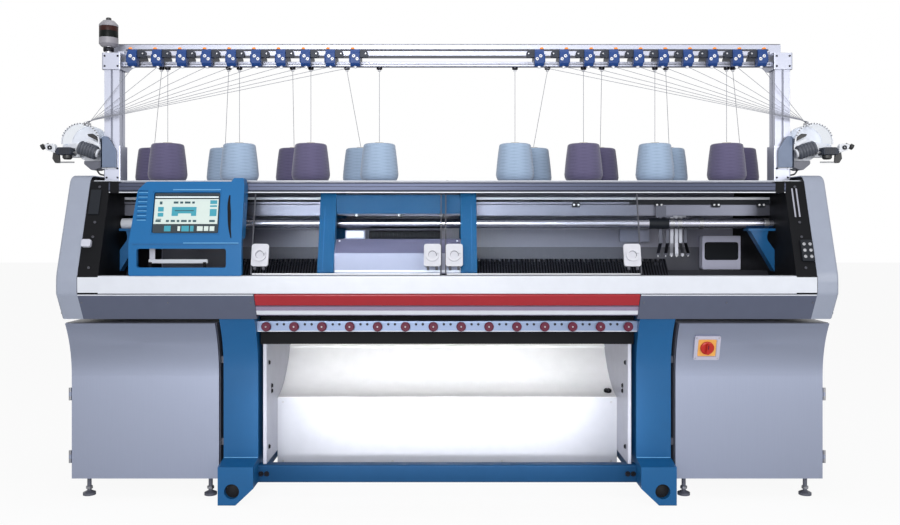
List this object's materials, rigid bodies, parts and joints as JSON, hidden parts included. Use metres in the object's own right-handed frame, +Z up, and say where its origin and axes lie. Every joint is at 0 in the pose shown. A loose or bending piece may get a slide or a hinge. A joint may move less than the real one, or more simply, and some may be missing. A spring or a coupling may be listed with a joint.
{
  "type": "flat knitting machine",
  "caption": "Two-bed flat knitting machine with sliding carriage, yarn carriers, see-through doors, side cabinets, tilted monitor and a yarn frame with cones over it.",
  "frame": {"origin": "on the floor under the middle of the machine's box", "axes": "+X to the right seen from the front, +Y to the rear, +Z up"},
  "size_m": [3.9998, 0.9, 2.345],
  "materials": {
    "cap_silver": "satin silver enamel",
    "side_black": "satin black paint",
    "lid_silver": "bright silver enamel",
    "panel_grey": "satin grey enamel",
    "bar_red": "gloss red enamel",
    "sill_pale": "satin enamel",
    "frame_blue": "semi-gloss blue enamel",
    "beam_grey": "painted casting",
    "bed_steel": "ground steel",
    "rail_polished": "polished",
    "cover_silver": "satin enamel",
    "clear_sheet": "clear polycarbonate",
    "handle_white": "moulded",
    "rail_anodised": "anodised",
    "knob_maroon": "moulded",
    "roller_rubber": "matt",
    "cheek_grey": "satin enamel",
    "chute_white": "satin enamel",
    "cabinet_silver": "fine brushed",
    "case_grey": "satin enamel",
    "hinge_steel": "satin",
    "switch_yellow": "moulded",
    "switch_red": "moulded",
    "monitor_blue": "moulded",
    "screen_pale": "lit display",
    "table_grey": "satin enamel",
    "yarn_dark": "wound yarn",
    "yarn_light": "wound yarn",
    "extrusion": "anodised",
    "unit_blue": "moulded",
    "thread_pale": "yarn",
    "feeder_white": "moulded",
    "drum_grey": "ribbed",
    "lamp_dark": "moulded",
    "carrier_steel": "satin"
  },
  "bodies": {
    "machine": {"left_end_cap": "cap_silver", "right_end_cap": "cap_silver", "side_frames": "side_black", "front_lid": "lid_silver", "front_panels": "panel_grey", "front_sill": "sill_pale", "rear_cover": "panel_grey", "left_leg_frame": "frame_blue", "right_leg_frame": "frame_blue", "crossbeams": "frame_blue", "bed_beam": "beam_grey", "front_needle_bed": "bed_steel", "rear_needle_bed": "bed_steel", "guide_rails": "rail_polished", "top_rail": "rail_polished", "yarn_rails": "rail_polished", "rail_brackets": "frame_blue", "takedown_rail": "rail_anodised", "takedown_knobs": "knob_maroon", "chute_cheeks": "cheek_grey", "lower_panel": "chute_white", "cabinets": "case_grey", "cabinet_hinges": "hinge_steel", "electronics": "case_grey", "monitor_housing": "monitor_blue", "monitor_screen": "screen_pale", "cone_table": "table_grey", "dark_yarn_cones": "yarn_dark", "light_yarn_cones": "yarn_light", "yarn_frame_posts": "extrusion", "top_beam": "extrusion", "yarn_control_units": "unit_blue", "yarn_threads": "thread_pale", "side_feeders": "feeder_white", "signal_lamp": "lamp_dark"},
    "carriage": {"carriage_bow": "frame_blue", "carriage_chassis": "bed_steel", "carriage_front_cover": "cover_silver", "carriage_rear_cover": "cover_silver"},
    "left_door": {"left_door": "clear_sheet", "left_door_handles": "handle_white"},
    "right_door": {"right_door": "clear_sheet", "right_door_handles": "handle_white"},
    "start_bar": {"start_stop_bar": "bar_red"},
    "left_cabinet_door": {"left_cabinet_door": "cabinet_silver"},
    "right_cabinet_door": {"right_cabinet_door": "cabinet_silver", "main_switch_plate": "switch_yellow"},
    "main_switch": {"main_switch_knob": "switch_red"},
    "front_roller": {"front_takedown_roller": "roller_rubber"},
    "rear_roller": {"rear_takedown_roller": "roller_rubber"},
    "chute": {"chute_flap": "chute_white"},
    "chute_lock": {"chute_lock": "hinge_steel"},
    "left_drum": {"left_feeder_drum": "drum_grey"},
    "right_drum": {"right_feeder_drum": "drum_grey"},
    "carrier_1": {"yarn_carrier_1": "carrier_steel"},
    "carrier_2": {"yarn_carrier_2": "carrier_steel"},
    "carrier_3": {"yarn_carrier_3": "carrier_steel"},
    "carrier_4": {"yarn_carrier_4": "carrier_steel"},
    "carrier_5": {"yarn_carrier_5": "carrier_steel"},
    "carrier_6": {"yarn_carrier_6": "carrier_steel"}
  },
  "joints": [
    {"name": "carriage_slide", "type": "slide", "parent": "machine", "child": "carriage", "axis": [1, 0, 0], "range_m": [-0.856, 1.325]},
    {"name": "left_door_slide", "type": "slide", "parent": "machine", "child": "left_door", "axis": [1, 0, 0], "range_m": [-0.6, 0]},
    {"name": "right_door_slide", "type": "slide", "parent": "machine", "child": "right_door", "axis": [1, 0, 0], "range_m": [0, 0.6]},
    {"name": "start_bar_turn", "type": "hinge", "parent": "machine", "child": "start_bar", "pos_m": [0, -0.42344, 0.96471], "axis": [1, 0, 0], "range_deg": [-10, 10]},
    {"name": "left_cabinet_door_hinge", "type": "hinge", "parent": "machine", "child": "left_cabinet_door", "pos_m": [-1.807, -0.272, 0.35], "axis": [0, 0, 1], "range_deg": [-100, 0]},
    {"name": "right_cabinet_door_hinge", "type": "hinge", "parent": "machine", "child": "right_cabinet_door", "pos_m": [1.807, -0.272, 0.35], "axis": [0, 0, 1], "range_deg": [0, 100]},
    {"name": "main_switch_turn", "type": "hinge", "parent": "right_cabinet_door", "child": "main_switch", "pos_m": [1.2345, -0.30259, 0.728], "axis": [0, -0.9573, -0.289], "range_deg": [0, 90]},
    {"name": "front_roller_spin", "type": "hinge", "parent": "machine", "child": "front_roller", "pos_m": [0, -0.0786, 0.745], "axis": [1, 0, 0], "continuous": true},
    {"name": "rear_roller_spin", "type": "hinge", "parent": "machine", "child": "rear_roller", "pos_m": [0, -0.0214, 0.745], "axis": [1, 0, 0], "continuous": true},
    {"name": "chute_tilt", "type": "hinge", "parent": "machine", "child": "chute", "pos_m": [0, 0.361, 0.645], "axis": [1, 0, 0], "range_deg": [-30, 0]},
    {"name": "chute_lock_turn", "type": "hinge", "parent": "chute", "child": "chute_lock", "pos_m": [0.835, 0.08485, 0.44482], "axis": [0, -0.2641, 0.9645], "range_deg": [0, 90]},
    {"name": "right_drum_spin", "type": "hinge", "parent": "machine", "child": "right_drum", "pos_m": [1.771, -0.152, 1.68], "axis": [0.9511, 0, 0.309], "continuous": true},
    {"name": "left_drum_spin", "type": "hinge", "parent": "machine", "child": "left_drum", "pos_m": [-1.771, -0.152, 1.68], "axis": [0.9511, 0, -0.309], "continuous": true},
    {"name": "carrier_1_slide", "type": "slide", "parent": "machine", "child": "carrier_1", "axis": [1, 0, 0], "range_m": [-2.498, 0.38]},
    {"name": "carrier_2_slide", "type": "slide", "parent": "machine", "child": "carrier_2", "axis": [1, 0, 0], "range_m": [-2.539, 0.339]},
    {"name": "carrier_3_slide", "type": "slide", "parent": "machine", "child": "carrier_3", "axis": [1, 0, 0], "range_m": [-2.57, 0.308]},
    {"name": "carrier_4_slide", "type": "slide", "parent": "machine", "child": "carrier_4", "axis": [1, 0, 0], "range_m": [-2.599, 0.279]},
    {"name": "carrier_5_slide", "type": "slide", "parent": "machine", "child": "carrier_5", "axis": [1, 0, 0], "range_m": [-2.63, 0.248]},
    {"name": "carrier_6_slide", "type": "slide", "parent": "machine", "child": "carrier_6", "axis": [1, 0, 0], "range_m": [-2.661, 0.217]}
  ],
  "couplings": [
    {"joint": "rear_roller_spin", "follows": "front_roller_spin", "ratio": -1}
  ]
}
